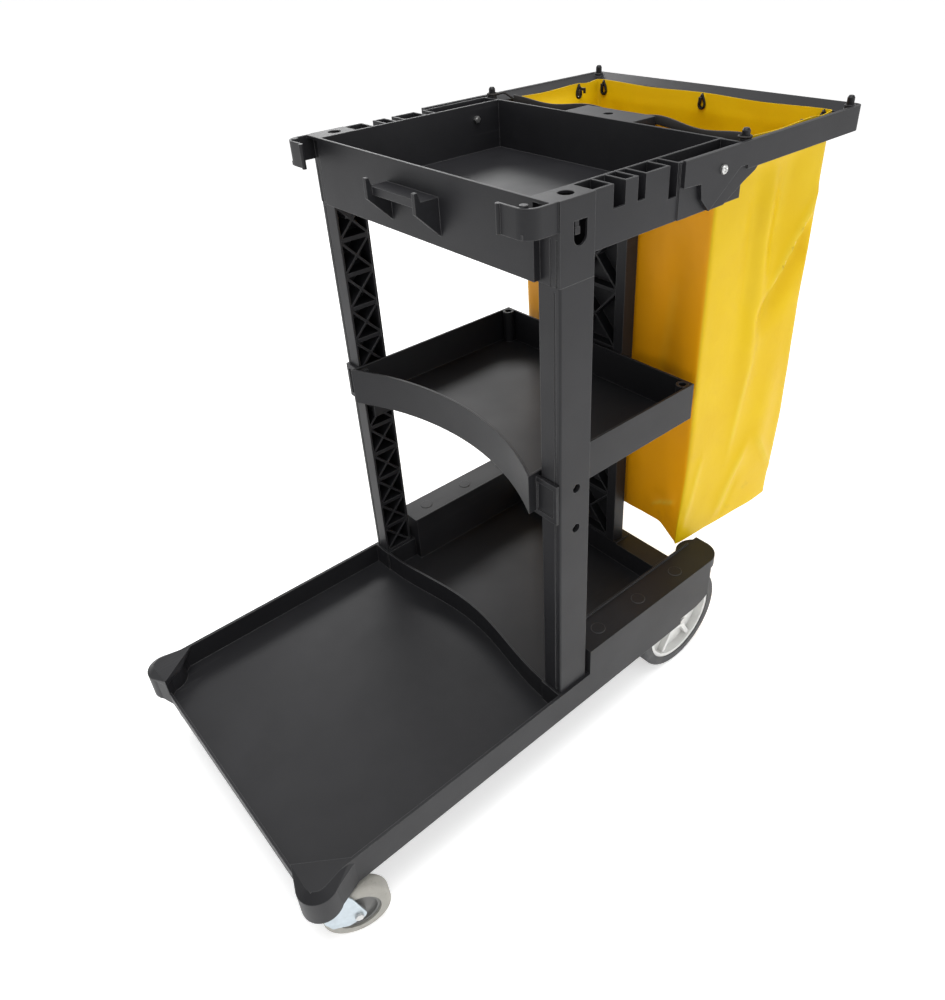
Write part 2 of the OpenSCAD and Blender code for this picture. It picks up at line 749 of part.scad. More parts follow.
module shelf_screws() {
    color("silver") both() for (z = screw_zs) translate([screw_x, up_y1 - 11, z]) rotate([90, 0, 0]) {
        translate([0, 0, -3.5]) cylinder(d = 11.5, h = 3.5);
        cylinder(d = screw_d, h = upright_t - 11 + 5);
    }
}

// Screws that hold the tray down on the tops of the side uprights
module tray_screws() {
    color("silver") both() translate([seat_x, seat_y, seam_z + seat_t]) {
        translate([0, 0, -seat_t - seat_screw_l + 1]) cylinder(d = seat_screw_d, h = seat_screw_l + seat_t);
        cylinder(d = 11, h = 3.5);
    }
}

// ---------- rear wheels ----------

module rear_axle() {
    color("silver") translate([axle_x, 0, axle_z]) rotate([90, 0, 0])
        cylinder(d = axle_d, h = axle_len, center = true);
}

module axle_ring(y, t, d) {
    translate([axle_x, y + t, axle_z]) rotate([90, 0, 0]) difference() {
        cylinder(d = d, h = t);
        translate([0, 0, -1]) cylinder(d = axle_d + 2 * run_clear, h = t + 2);
    }
}

module axle_washers() {
    color("silver") both() axle_ring(hub_in - washer_t, washer_t, 28);
}

module axle_caps() {
    color("silver") both() axle_ring(wheel_y + hub_w / 2 + seat_gap, 3, 20);
}

module spin(y) {
    translate([axle_x, y, axle_z]) rotate([90, 0, 0]) children();
}

module rear_rim(y) {
    color([0.88, 0.88, 0.87]) spin(y) difference() {
        union() {
            difference() {
                cylinder(r = rim_r, h = rim_w, center = true);
                cylinder(r = rim_r - 7, h = rim_w + 2, center = true);
            }
            cylinder(r = rim_r - 5, h = 4, center = true);
            cylinder(r = hub_r, h = hub_w, center = true);
            for (i = [0 : spoke_n - 1]) rotate([0, 0, i * 360 / spoke_n])
                translate([hub_r - 3, -4, -rim_w / 2 + 4]) cube([rim_r - hub_r - 1, 8, rim_w - 8]);
        }
        cylinder(r = bush_r, h = hub_w + 2, center = true);
    }
}

module rear_tyre(y) {
    color([0.3, 0.3, 0.31]) spin(y) rotate_extrude() difference() {
        union() {
            translate([rim_r, -tyre_w / 2]) square([tyre_t - 5, tyre_w]);
            translate([rim_r, -tyre_w / 2 + 6]) square([tyre_t, tyre_w - 12]);
            for (s = [-1, 1]) translate([rim_r + tyre_t - 6, s * (tyre_w / 2 - 6)]) circle(6);
        }
        for (s = [-1, 0, 1]) translate([rim_r + tyre_t, s * 8]) circle(0.9, $fn = 16);
    }
}

module rear_bush(y) {
    color([0.75, 0.72, 0.6]) spin(y) difference() {
        cylinder(r = bush_r, h = hub_w, center = true);
        cylinder(d = axle_d + 2 * run_clear, h = hub_w + 2, center = true);
    }
}

module left_rear_rim() { rear_rim(-wheel_y); }
module left_rear_tyre() { rear_tyre(-wheel_y); }
module left_rear_bush() { rear_bush(-wheel_y); }
module right_rear_rim() { rear_rim(wheel_y); }
module right_rear_tyre() { rear_tyre(wheel_y); }
module right_rear_bush() { rear_bush(wheel_y); }

// ---------- casters ----------

// Moves a caster drawn about its own swivel axis, wheel trailing to +X, under a corner
module at_caster(side) {
    translate([caster_x, side * caster_y, 0]) rotate([0, 0, -caster_angle]) children();
}

module caster_stem(side) {
    head_z = fork_top - fork_t - seat_gap - head_t;
    color("silver") at_caster(side) {
        translate([0, 0, head_z + 1]) cylinder(d = stem_d, h = skirt_z + stem_h - head_z - 1);
        translate([0, 0, skirt_z - collar_t]) cylinder(r = crown_r - 3, h = collar_t);
        translate([0, 0, head_z]) cylinder(d = stem_d + 6, h = head_t);
    }
}

module caster_fork(side) {
    y0 = fork_in;
    y1 = fork_in + fork_t;
    color([0.8, 0.83, 0.86]) at_caster(side) difference() {
        union() {
            translate([0, 0, fork_top - fork_t]) linear_extrude(fork_t) {
                circle(y1);
                translate([0, -y1]) square([crown_r + 8, 2 * y1]);
            }
            both() side_slab(y0, y1) {
                polygon([
                    [-12, fork_top], [-12, c_axle_z + 14], [-3, c_axle_z - 6],
                    [caster_trail - 16, c_axle_z - 15], [caster_trail - 2, c_axle_z - 11],
                    [caster_trail + 10, c_axle_z + 5], [crown_r + 13, fork_top - 9],
                    [crown_r + 8, fork_top]]);
                translate([caster_trail, c_axle_z]) circle(11);
            }
        }
        translate([0, 0, fork_top - 10]) cylinder(d = stem_d + 2 * run_clear, h = 30);
        translate([caster_trail, 0, c_axle_z]) rotate([90, 0, 0])
            cylinder(d = c_axle_d + 2 * run_clear, h = 2 * fork_in + 20, center = true);
    }
}

module caster_axle(side) {
    h = 2 * (fork_in + fork_t);
    color("silver") at_caster(side) translate([caster_trail, 0, c_axle_z]) rotate([90, 0, 0]) {
        translate([0, 0, h / 2]) cylinder(d = 13, h = 4, $fn = 6);
        translate([0, 0, -h / 2 - 7]) cylinder(d = c_axle_d, h = h + 8);
    }
}

module caster_nut(side) {
    h = 2 * (fork_in + fork_t);
    color("silver") at_caster(side) translate([caster_trail, 0, c_axle_z]) rotate([90, 0, 0])
        translate([0, 0, -h / 2 - 5]) difference() {
            cylinder(d = 14, h = 5, $fn = 6);
            translate([0, 0, -1]) cylinder(d = c_axle_d + 2 * run_clear, h = 7);
        }
}

module caster_spin(side) {
    at_caster(side) translate([caster_trail, 0, c_axle_z]) rotate([90, 0, 0]) children();
}

module caster_wheel(side) {
    color([0.45, 0.45, 0.44]) caster_spin(side) difference() {
        union() {
            cylinder(r = caster_hub_r, h = caster_w - 6, center = true);
            cylinder(r = c_bush_r + 5, h = caster_w + 2, center = true);
        }
        for (s = [-1, 1]) translate([0, 0, s * (caster_w / 2 + 1)]) difference() {
            cylinder(r = caster_hub_r - 5, h = 18, center = true);
            cylinder(r = c_bush_r + 5, h = 20, center = true);
        }
        cylinder(r = c_bush_r, h = caster_w + 4, center = true);
    }
}

module caster_tyre(side) {
    r0 = caster_hub_r;
    r1 = caster_d / 2;
    color([0.62, 0.61, 0.58]) caster_spin(side) rotate_extrude() {
        translate([r0, -caster_w / 2]) square([r1 - r0 - 7, caster_w]);
        translate([r0, -caster_w / 2 + 7]) square([r1 - r0, caster_w - 14]);
        for (s = [-1, 1]) translate([r1 - 7, s * (caster_w / 2 - 7)]) circle(7);
    }
}

module caster_bush(side) {
    color("silver") caster_spin(side) difference() {
        cylinder(r = c_bush_r, h = caster_w + 3, center = true);
        cylinder(d = c_axle_d + 2 * run_clear, h = caster_w + 5, center = true);
    }
}

module left_caster_stem() { caster_stem(-1); }
module left_caster_fork() { caster_fork(-1); }
module left_caster_axle() { caster_axle(-1); }
module left_caster_nut() { caster_nut(-1); }
module left_caster_wheel() { caster_wheel(-1); }
module left_caster_tyre() { caster_tyre(-1); }
module left_caster_bush() { caster_bush(-1); }
module right_caster_stem() { caster_stem(1); }
module right_caster_fork() { caster_fork(1); }
module right_caster_axle() { caster_axle(1); }
module right_caster_nut() { caster_nut(1); }
module right_caster_wheel() { caster_wheel(1); }
module right_caster_tyre() { caster_tyre(1); }
module right_caster_bush() { caster_bush(1); }

base_deck();
left_upright();
right_upright();
rear_upright();
mid_shelf();
top_tray();
bag_frame();
frame_pegs();
bag_hooks();
bag();
frame_bolts();
frame_nuts();
shelf_screws();
tray_screws();
rear_axle();
axle_washers();
axle_caps();
left_rear_rim();
left_rear_tyre();
left_rear_bush();
right_rear_rim();
right_rear_tyre();
right_rear_bush();
left_caster_stem();
left_caster_fork();
left_caster_axle();
left_caster_nut();
left_caster_wheel();
left_caster_tyre();
left_caster_bush();
right_caster_stem();
right_caster_fork();
right_caster_axle();
right_caster_nut();
right_caster_wheel();
right_caster_tyre();
right_caster_bush();
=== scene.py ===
import json
import math

import bmesh
import bpy
from mathutils import Matrix, Vector, noise


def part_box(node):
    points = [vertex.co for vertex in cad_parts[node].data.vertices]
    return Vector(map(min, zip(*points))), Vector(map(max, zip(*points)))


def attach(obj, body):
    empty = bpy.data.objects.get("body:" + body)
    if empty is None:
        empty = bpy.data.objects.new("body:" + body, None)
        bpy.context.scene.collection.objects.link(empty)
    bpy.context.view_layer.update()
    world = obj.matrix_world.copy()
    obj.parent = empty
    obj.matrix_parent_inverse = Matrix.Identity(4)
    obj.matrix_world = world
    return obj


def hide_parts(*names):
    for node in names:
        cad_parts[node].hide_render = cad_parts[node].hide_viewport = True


# The looks of the housekeeping cart: moulded black plastic, a hanging yellow bag, wheels
# and small hardware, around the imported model. Metres, +Z up, +X towards the bag.

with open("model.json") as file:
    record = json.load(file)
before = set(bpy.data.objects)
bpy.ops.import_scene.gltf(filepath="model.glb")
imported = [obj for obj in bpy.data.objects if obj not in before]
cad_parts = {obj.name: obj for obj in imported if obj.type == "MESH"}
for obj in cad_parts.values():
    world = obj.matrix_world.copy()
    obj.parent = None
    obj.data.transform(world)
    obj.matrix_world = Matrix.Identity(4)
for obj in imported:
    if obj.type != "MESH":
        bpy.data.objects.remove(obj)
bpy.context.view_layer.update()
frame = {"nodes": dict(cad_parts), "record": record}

MM = 0.001
ROOT = "cart"
SIDES = {"left": -1, "right": 1}


# ---------- places taken from the frame ----------

bag_lo, bag_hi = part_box("bag")
pegs_lo, pegs_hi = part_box("frame_pegs")
frame_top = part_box("bag_frame")[1].z
tray_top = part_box("top_tray")[1].z


# ---------- mesh helpers ----------

def add_mesh(name, verts, faces):
    """A plain mesh object in the scene."""
    mesh = bpy.data.meshes.new(name)
    mesh.from_pydata([tuple(v) for v in verts], [], faces)
    made = bpy.data.objects.new(name, mesh)
    bpy.context.scene.collection.objects.link(made)
    return made


def smooth_faces(mesh, sharp_degrees=None):
    """Smooth shading, with sharp edges above an angle."""
    mesh.polygons.foreach_set("use_smooth", [True] * len(mesh.polygons))
    if sharp_degrees is not None:
        mesh.set_sharp_from_angle(angle=math.radians(sharp_degrees))


def make_piece(name, verts, faces, material, body=ROOT):
    """A mesh object that rides on a body and takes its finish from a slot."""
    piece = add_mesh(name, verts, faces)
    piece.data.validate()
    smooth_faces(piece.data)
    piece.data.materials.append(material)
    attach(piece, body)
    return piece


def apply_modifiers(piece):
    """Bakes the modifiers of a piece of this script into its mesh."""
    graph = bpy.context.evaluated_depsgraph_get()
    mesh = bpy.data.meshes.new_from_object(piece.evaluated_get(graph))
    piece.modifiers.clear()
    piece.data = mesh


def skin(rings, sides, closed):
    """Faces between rings of vertices: a closed loop of rings, or a row of them with end caps."""
    faces = []
    for i in range(rings if closed else rings - 1):
        j = (i + 1) % rings
        for k in range(sides):
            m = (k + 1) % sides
            faces.append((i * sides + k, i * sides + m, j * sides + m, j * sides + k))
    if not closed:
        faces.append(tuple(range(sides))[::-1])
        faces.append(tuple(range((rings - 1) * sides, rings * sides)))
    return faces


def tube(path, radius, sides, closed=True):
    """Vertices and faces of a round tube along a path."""
    count = len(path)
    verts = []
    normal = None
    for i, point in enumerate(path):
        before = path[(i - 1) % count] if closed or i > 0 else path[i]
        after = path[(i + 1) % count] if closed or i < count - 1 else path[i]
        along = (after - before).normalized()
        if normal is None:
            normal = along.orthogonal().normalized()
        normal = (normal - along * normal.dot(along)).normalized()
        cross = along.cross(normal)
        for k in range(sides):
            a = 2 * math.pi * k / sides
            verts.append(point + radius * (math.cos(a) * normal + math.sin(a) * cross))
    return verts, skin(count, sides, closed)


def smooth_step(low, high, x):
    """From 0 at the low value to 1 at the high one, flat at both ends."""
    t = min(max((x - low) / (high - low), 0.0), 1.0)
    return t * t * (3 - 2 * t)


def mix(a, b, t):
    """The value between two at a share of the way."""
    return a + (b - a) * t


# ---------- materials ----------

def node(tree, kind, **values):
    """A shader node with its sockets or settings filled in."""
    made = tree.nodes.new(kind)
    for key, value in values.items():
        if key in made.inputs:
            made.inputs[key].default_value = value
        else:
            setattr(made, key, value)
    return made


class Finish:
    """A Principled material whose colour, roughness and bump come from procedural nodes."""

    def __init__(self, name, color, roughness, metallic=0.0, specular=0.5):
        self.material = bpy.data.materials.new(name)
        self.material.use_nodes = True
        self.tree = self.material.node_tree
        self.shader = self.tree.nodes["Principled BSDF"]
        self.shader.inputs["Metallic"].default_value = metallic
        self.shader.inputs["Specular IOR Level"].default_value = specular
        self.place = node(self.tree, "ShaderNodeTexCoord").outputs["Object"]
        self.color = node(self.tree, "ShaderNodeRGB").outputs[0]
        self.color.default_value = (*color, 1)
        self.rough = node(self.tree, "ShaderNodeValue").outputs[0]
        self.rough.default_value = roughness
        self.normal = None

    def link(self, a, b):
        self.tree.links.new(a, b)

    def stretched(self, scale, turn=(0, 0, 0)):
        """The object's coordinates, turned and scaled."""
        mapping = node(self.tree, "ShaderNodeMapping", Scale=scale, Rotation=turn)
        self.link(self.place, mapping.inputs["Vector"])
        return mapping.outputs[0]

    def noise(self, scale, detail=3.0, roughness=0.5, place=None):
        made = node(self.tree, "ShaderNodeTexNoise", Scale=scale, Detail=detail, Roughness=roughness)
        self.link(place or self.place, made.inputs["Vector"])
        return made.outputs["Fac"]

    def ramp(self, value, stops):
        made = node(self.tree, "ShaderNodeValToRGB")
        ramp = made.color_ramp
        ramp.elements[0].position, low = stops[0]
        ramp.elements[1].position, high = stops[-1]
        ramp.elements[0].color = (low, low, low, 1)
        ramp.elements[1].color = (high, high, high, 1)
        for position, level in stops[1:-1]:
            ramp.elements.new(position).color = (level, level, level, 1)
        self.link(value, made.inputs[0])
        return made.outputs[0]

    def math(self, operation, a, b):
        made = node(self.tree, "ShaderNodeMath", operation=operation)
        for socket, value in zip(made.inputs, (a, b)):
            if isinstance(value, (int, float)):
                socket.default_value = value
            else:
                self.link(value, socket)
        return made.outputs[0]

    def tint(self, mask, color):
        """Mixes a colour in where the mask is high."""
        made = node(self.tree, "ShaderNodeMix", data_type="RGBA")
        self.link(mask, made.inputs["Factor"])
        under, over = [s for s in made.inputs if s.type == "RGBA"]
        self.link(self.color, under)
        over.default_value = (*color, 1)
        self.color = next(s for s in made.outputs if s.type == "RGBA")

    def roughen(self, value, amount):
        """Adds a share of a value to the roughness."""
        self.rough = self.math("ADD", self.rough, self.math("MULTIPLY", value, amount))

    def bump(self, height, strength, distance):
        made = node(self.tree, "ShaderNodeBump", Strength=strength, Distance=distance)
        self.link(height, made.inputs["Height"])
        if self.normal is not None:
            self.link(self.normal, made.inputs["Normal"])
        self.normal = made.outputs[0]

    def soft_edges(self, radius):
        """Rounds the look of the edges a little, and gives a mask of the edges and inner corners."""
        made = node(self.tree, "ShaderNodeBevel", samples=6, Radius=radius)
        self.normal = made.outputs[0]
        flat = node(self.tree, "ShaderNodeNewGeometry").outputs["Normal"]
        dot = node(self.tree, "ShaderNodeVectorMath", operation="DOT_PRODUCT")
        self.link(made.outputs[0], dot.inputs[0])
        self.link(flat, dot.inputs[1])
        return self.ramp(self.math("SUBTRACT", 1.0, dot.outputs["Value"]), [(0.01, 0.0), (0.20, 1.0)])

    def attribute(self, name):
        made = node(self.tree, "ShaderNodeAttribute", attribute_name=name)
        return made.outputs["Fac"]

    def done(self):
        self.link(self.color, self.shader.inputs["Base Color"])
        self.link(self.rough, self.shader.inputs["Roughness"])
        if self.normal is not None:
            self.link(self.normal, self.shader.inputs["Normal"])
        return self.material


def scratches(finish, turn):
    """A mask of thin straight marks in one direction."""
    level, half_width = 0.66, 0.012
    lines = finish.noise(2.2, 2.0, 0.4, finish.stretched((1.0, 34.0, 34.0), turn))
    patches = finish.noise(3.1, 2.0, 0.5)
    thin = finish.ramp(lines, [(level - half_width, 0.0), (level, 1.0), (level + half_width, 0.0)])
    return finish.math("MULTIPLY", thin, finish.ramp(patches, [(0.5, 0.0), (0.66, 1.0)]))


def shade(color, factor, lift=0.0):
    """A colour made darker or lighter."""
    return tuple(min(1.0, c * factor + lift) for c in color)


def moulded_plastic(name, color, roughness=0.42, wear=0.5):
    """Semi-matte moulded plastic: fine grain, faint flow marks, rub scratches, and a painted highlight
    that lightens its edges and inner corners.
    """
    f = Finish(name, color, roughness, specular=0.29)
    edges = f.soft_edges(1.5 * MM)
    # the lighter last colour serves both the real rub marks on the scratches and the painted highlight
    # on the edges
    lighter, darker, rub_mark_and_highlight = shade(color, 1.5, 0.006), shade(color, 0.72), shade(color, 1, 0.07)
    f.tint(f.ramp(f.noise(5.0, 4.0), [(0.42, 0.0), (0.75, 0.55)]), lighter)
    f.tint(f.ramp(f.noise(11.0, 5.0, 0.6), [(0.5, 0.0), (0.8, 0.6)]), darker)
    for turn in ((0, 0, 0.35), (0, 0.2, 1.3)):
        marks = scratches(f, turn)
        f.tint(f.math("MULTIPLY", marks, 0.35 * wear), rub_mark_and_highlight)
        f.roughen(marks, 0.12)
    # painted highlight: edges and inner corners lightened with the same colour as the rub marks
    f.tint(edges, rub_mark_and_highlight)
    f.roughen(f.noise(14.0, 3.0), 0.12)
    f.bump(f.noise(420.0, 2.0), 0.22, 0.00035)
    f.bump(f.noise(1500.0, 1.0), 0.18, 0.00012)
    return f.done()


def coated_sheet(name, color, dull, pale, front_shade):
    """Coated woven sheet: fine weave under a soft gloss, paler along its creases from stress whitening
    and a painted reflection, and a painted shade of deeper orange on the front panel.
    """
    f = Finish(name, color, 0.36, specular=0.22)
    f.tint(f.ramp(f.noise(7.0, 5.0, 0.6), [(0.40, 0.0), (0.78, 0.55)]), dull)
    f.tint(f.ramp(f.noise(38.0, 4.0, 0.6), [(0.55, 0.0), (0.85, 0.30)]), dull)
    # painted shade: deeper orange where the attribute front is high, on the front panel and a little
    # on the bottom
    f.tint(f.attribute("front"), front_shade)
    # paler along the creases: partly stress whitening, partly a painted reflection
    f.tint(f.ramp(f.attribute("crease"), [(0.15, 0.0), (0.9, 0.55)]), pale)
    smudge = f.math("MULTIPLY", f.ramp(f.noise(16.0, 6.0, 0.7), [(0.62, 0.0), (0.8, 0.35)]),
                    f.ramp(f.attribute("low"), [(0.0, 0.15), (1.0, 1.0)]))
    f.tint(smudge, (0.20, 0.13, 0.03))
    f.roughen(f.noise(9.0, 4.0), 0.16)
    warp = node(f.tree, "ShaderNodeTexWave", Scale=260.0, Distortion=0.4, bands_direction="Z")
    weft = node(f.tree, "ShaderNodeTexWave", Scale=260.0, Distortion=0.4, bands_direction="Y")
    for wave in (warp, weft):
        f.link(f.place, wave.inputs["Vector"])
    f.bump(f.math("ADD", warp.outputs["Fac"], weft.outputs["Fac"]), 0.10, 0.00015)
    f.bump(f.noise(26.0, 4.0, 0.6), 0.30, 0.0022)
    f.bump(f.noise(90.0, 3.0, 0.5), 0.20, 0.0006)
    return f.done()


def plated_metal(name, color, roughness=0.3):
    """Zinc-plated steel: cloudy crystals and fine rub marks."""
    f = Finish(name, color, roughness, metallic=1.0)
    f.soft_edges(0.6 * MM)
    cells = node(f.tree, "ShaderNodeTexVoronoi", Scale=160.0)
    f.link(f.place, cells.inputs["Vector"])
    f.tint(f.ramp(cells.outputs["Distance"], [(0.1, 0.0), (0.9, 0.30)]), shade(color, 0.7))
    f.tint(f.ramp(f.noise(45.0, 4.0, 0.6), [(0.45, 0.0), (0.75, 0.4)]), shade(color, 1.15))
    f.roughen(f.noise(80.0, 3.0), 0.22)
    f.bump(f.noise(900.0, 2.0), 0.15, 0.0001)
    return f.done()


def wheel_rubber(name, color, dusty):
    """Rubber with a dusty, scuffed tread."""
    f = Finish(name, color, 0.62, specular=0.35)
    f.tint(f.ramp(f.noise(30.0, 5.0, 0.65), [(0.42, 0.0), (0.72, 0.7)]), dusty)
    f.tint(f.ramp(f.noise(140.0, 3.0, 0.6), [(0.58, 0.0), (0.8, 0.5)]), shade(color, 0.6))
    f.roughen(f.noise(60.0, 3.0), 0.18)
    f.bump(f.noise(380.0, 3.0, 0.6), 0.35, 0.0004)
    return f.done()


PLASTIC = moulded_plastic("black_plastic", (0.0105, 0.0105, 0.0122))
PEG = moulded_plastic("peg_plastic", (0.006, 0.006, 0.007), 0.38, 0.2)
# the third colour is the crease colour, partly a painted reflection; the last is the painted shade of
# the front panel
VINYL = coated_sheet("bag_vinyl", (0.68, 0.455, 0.001), (0.60, 0.36, 0.001), (0.72, 0.57, 0.07),
                     (0.88, 0.34, 0.002))
TAPE = moulded_plastic("bag_tape", (0.016, 0.014, 0.013), 0.55, 0.2)
HARDWARE = plated_metal("plated_hardware", (0.56, 0.56, 0.55), 0.28)
ZINC = plated_metal("bright_zinc", (0.50, 0.56, 0.60), 0.30)
WHITE = moulded_plastic("white_plastic", (0.60, 0.60, 0.585), 0.40, 0.6)
REAR_RUBBER = wheel_rubber("rear_rubber", (0.055, 0.055, 0.058), (0.12, 0.12, 0.115))
CASTER_RUBBER = wheel_rubber("caster_rubber", (0.33, 0.32, 0.29), (0.42, 0.41, 0.37))
GREY = moulded_plastic("grey_plastic", (0.16, 0.16, 0.155), 0.45, 0.5)
BUSH = moulded_plastic("bush_plastic", (0.55, 0.52, 0.42), 0.35, 0.3)

MATERIALS = {
    "black_plastic": PLASTIC, "peg_plastic": PEG, "vinyl": VINYL, "hardware": HARDWARE, "zinc": ZINC,
    "white_plastic": WHITE, "rear_rubber": REAR_RUBBER, "bush_plastic": BUSH, "grey_plastic": GREY,
    "caster_rubber": CASTER_RUBBER}


# ---------- the CAD nodes ----------

def finish_cad_nodes():
    """Gives each CAD node the material of its slot and smooth shading."""
    slots = {s["node"]: s["material_slot"] for s in frame["record"]["subparts"]}
    for name, part in frame["nodes"].items():
        slot = slots[name]
        part.data.materials.clear()
        part.data.materials.append(MATERIALS[slot])
        smooth_faces(part.data, 32)


# ---------- the bag ----------

BAG_T = 1.4 * MM
HEM_H = 24 * MM
HEM_T = 0.7 * MM
ROW_STEP = 7 * MM
BOTTOM_RINGS = 14
# sag of the top edge between the hooks, at the sides and in front
TOP_SAG = 2.5 * MM
FRONT_SAG = 7 * MM
# the foot falls from the rear to a point at each front corner
EAR_DROP = 27 * MM
EAR_WIDTH = 55 * MM
EAR_FORWARD = 9 * MM
EAR_INWARD = 4 * MM
FOOT_LIFT = 7 * MM

# Half width of the bag at its rear and at its front, and where the front wall bends round the cap
REAR_Y = bag_hi.y
FRONT_Y = bag_hi.y - 34 * MM
FRONT_X = bag_lo.x
REAR_X = bag_hi.x


class Crease:
    """A fold on one panel, from one point to another: (share along the panel, height)."""

    def __init__(self, panel, a, b, depth, width, sharp=False):
        self.panel, self.a, self.b = panel, Vector(a), Vector(b)
        self.depth, self.width, self.sharp = depth, width, sharp

    def at(self, share, height, length):
        p = Vector((share * length, height))
        a = Vector((self.a.x * length, self.a.y))
        b = Vector((self.b.x * length, self.b.y))
        along = b - a
        t = (p - a).dot(along) / along.length_squared
        near = a + along * min(max(t, 0.0), 1.0)
        d = (p - near).length / self.width
        ends = smooth_step(-0.08, 0.3, t) * (1 - smooth_step(0.7, 1.08, t))
        return ends * (math.exp(-d * 1.6) if self.sharp else math.exp(-d * d))


CREASES = [
    # near side: a soft ridge down the middle, a diagonal fold from the rear top, crumples at the foot
    Crease("left", (0.50, 0.94), (0.49, 0.50), 10 * MM, 17 * MM),
    Crease("left", (0.40, 0.90), (0.43, 0.62), -6 * MM, 18 * MM),
    Crease("left", (1.00, 0.86), (0.54, 0.67), 15 * MM, 17 * MM, True),
    Crease("left", (1.02, 0.80), (0.58, 0.62), -17 * MM, 22 * MM),
    Crease("left", (0.72, 0.94), (0.60, 0.74), -6 * MM, 24 * MM),
    Crease("left", (0.55, 0.62), (0.42, 0.36), 5 * MM, 14 * MM, True),
    Crease("left", (0.80, 0.60), (0.74, 0.36), 5 * MM, 26 * MM),
    Crease("left", (0.36, 0.26), (0.64, 0.41), 8 * MM, 16 * MM, True),
    Crease("left", (0.44, 0.25), (0.60, 0.33), -4 * MM, 10 * MM, True),
    Crease("left", (0.98, 0.30), (0.68, 0.42), 7 * MM, 15 * MM, True),
    Crease("left", (0.06, 0.27), (0.16, 0.42), 4 * MM, 9 * MM, True),
    Crease("front", (0.86, 0.80), (0.78, 0.46), -6 * MM, 26 * MM),
    Crease("front", (0.60, 0.88), (0.55, 0.40), 7 * MM, 40 * MM),
    Crease("front", (0.98, 0.33), (0.80, 0.27), 4 * MM, 12 * MM, True),
    Crease("front", (0.30, 0.84), (0.34, 0.40), -6 * MM, 34 * MM),
    Crease("right", (0.50, 0.92), (0.46, 0.46), 7 * MM, 22 * MM),
    Crease("right", (0.98, 0.84), (0.52, 0.66), 9 * MM, 18 * MM, True),
    Crease("right", (0.20, 0.28), (0.62, 0.43), 5 * MM, 13 * MM, True),
    Crease("right", (0.75, 0.62), (0.70, 0.33), -6 * MM, 24 * MM),
    Crease("rear", (0.50, 0.94), (0.50, 0.70), 5 * MM, 34 * MM),
    Crease("rear", (0.08, 0.93), (0.32, 0.62), 7 * MM, 18 * MM, True),
    Crease("rear", (0.92, 0.93), (0.70, 0.60), 7 * MM, 18 * MM, True),
    Crease("rear", (0.25, 0.52), (0.28, 0.30), -6 * MM, 30 * MM),
    Crease("rear", (0.72, 0.55), (0.76, 0.30), 6 * MM, 30 * MM),
    Crease("rear", (0.30, 0.27), (0.62, 0.36), 4 * MM, 12 * MM, True),
]


# The front wall bends back round the cap over the rear upright, as wide as the cap
CAP_REAR_X = 326 * MM
CAP_HALF_Y = 75 * MM

# How many columns of points lie between one corner of the plan and the next
PANEL_COLUMNS = [44, 24, 24, 24, 44, 76]

# How often the points are averaged with their neighbours, which rounds the corners
CORNER_ROUNDS = 2


def bag_corners(z):
    """The plan's corners at one height, from the rear left round the front to the rear right."""
    flare = smooth_step(bag_hi.z - 70 * MM, bag_hi.z - 6 * MM, z)
    front_y = mix(FRONT_Y, REAR_Y - 1 * MM, flare)
    front_x = mix(FRONT_X, FRONT_X + 6 * MM, flare)
    notch = smooth_step(tray_top - 85 * MM, tray_top - 62 * MM, z)
    mid_x = mix(FRONT_X + 3 * MM, CAP_REAR_X, notch)
    taper = 4 * MM * (1 - smooth_step(bag_lo.z, bag_lo.z + 0.25, z))
    return [
        ("left", Vector((REAR_X - taper, -REAR_Y + taper))),
        ("front", Vector((front_x + taper, -front_y + taper))),
        ("front", Vector((mid_x, -CAP_HALF_Y))),
        ("front", Vector((mid_x, CAP_HALF_Y))),
        ("right", Vector((front_x + taper, front_y - taper))),
        ("rear", Vector((REAR_X - taper, REAR_Y - taper)))]


def bag_row(z):
    """One closed row of points of the bag with each point's panel, share along it and panel length."""
    corners = bag_corners(z)
    front_y = corners[4][1].y
    row = []
    for i, columns in enumerate(PANEL_COLUMNS):
        panel, a = corners[i]
        b = corners[(i + 1) % len(corners)][1]
        for k in range(columns):
            p = a.lerp(b, k / columns)
            if panel == "front":
                share = 0.5 - p.y / (2 * front_y)
                length = 2 * front_y
            elif panel == "rear":
                share = 0.5 + p.y / (2 * REAR_Y)
                length = 2 * REAR_Y
            else:
                share = (p.x - FRONT_X) / (REAR_X - FRONT_X)
                length = REAR_X - FRONT_X
            row.append([p, panel, share, length])
    count = len(row)
    for _ in range(CORNER_ROUNDS):
        points = [r[0].copy() for r in row]
        for i in range(count):
            row[i][0] = (points[i - 1] + points[i] * 2 + points[(i + 1) % count]) / 4
    return row


def hook_slack(panel, share):
    """How far the top edge sags between the hooks, from 0 at a hook to 1 half way."""
    hooks = {"rear": (0.03, 0.5, 0.97), "left": (0.0, 0.74, 0.98), "right": (0.0, 0.74, 0.98),
             "front": (0.0, 0.35, 0.65, 1.0)}[panel]
    for a, b in zip(hooks, hooks[1:]):
        if a <= share <= b:
            return math.sin(math.pi * (share - a) / (b - a)) ** 2
    return 0.0


def foot_tip(panel, share, length):
    """How near a point of the foot is to the pointed front corner: 1 at the point."""
    if panel == "front":
        to_corner = min(share, 1 - share) * length
        rest = FOOT_LIFT / (EAR_DROP + FOOT_LIFT)
        return max(rest, 1 - (1 - rest) * to_corner / EAR_WIDTH)
    return 0.0 if panel == "rear" else 1 - share


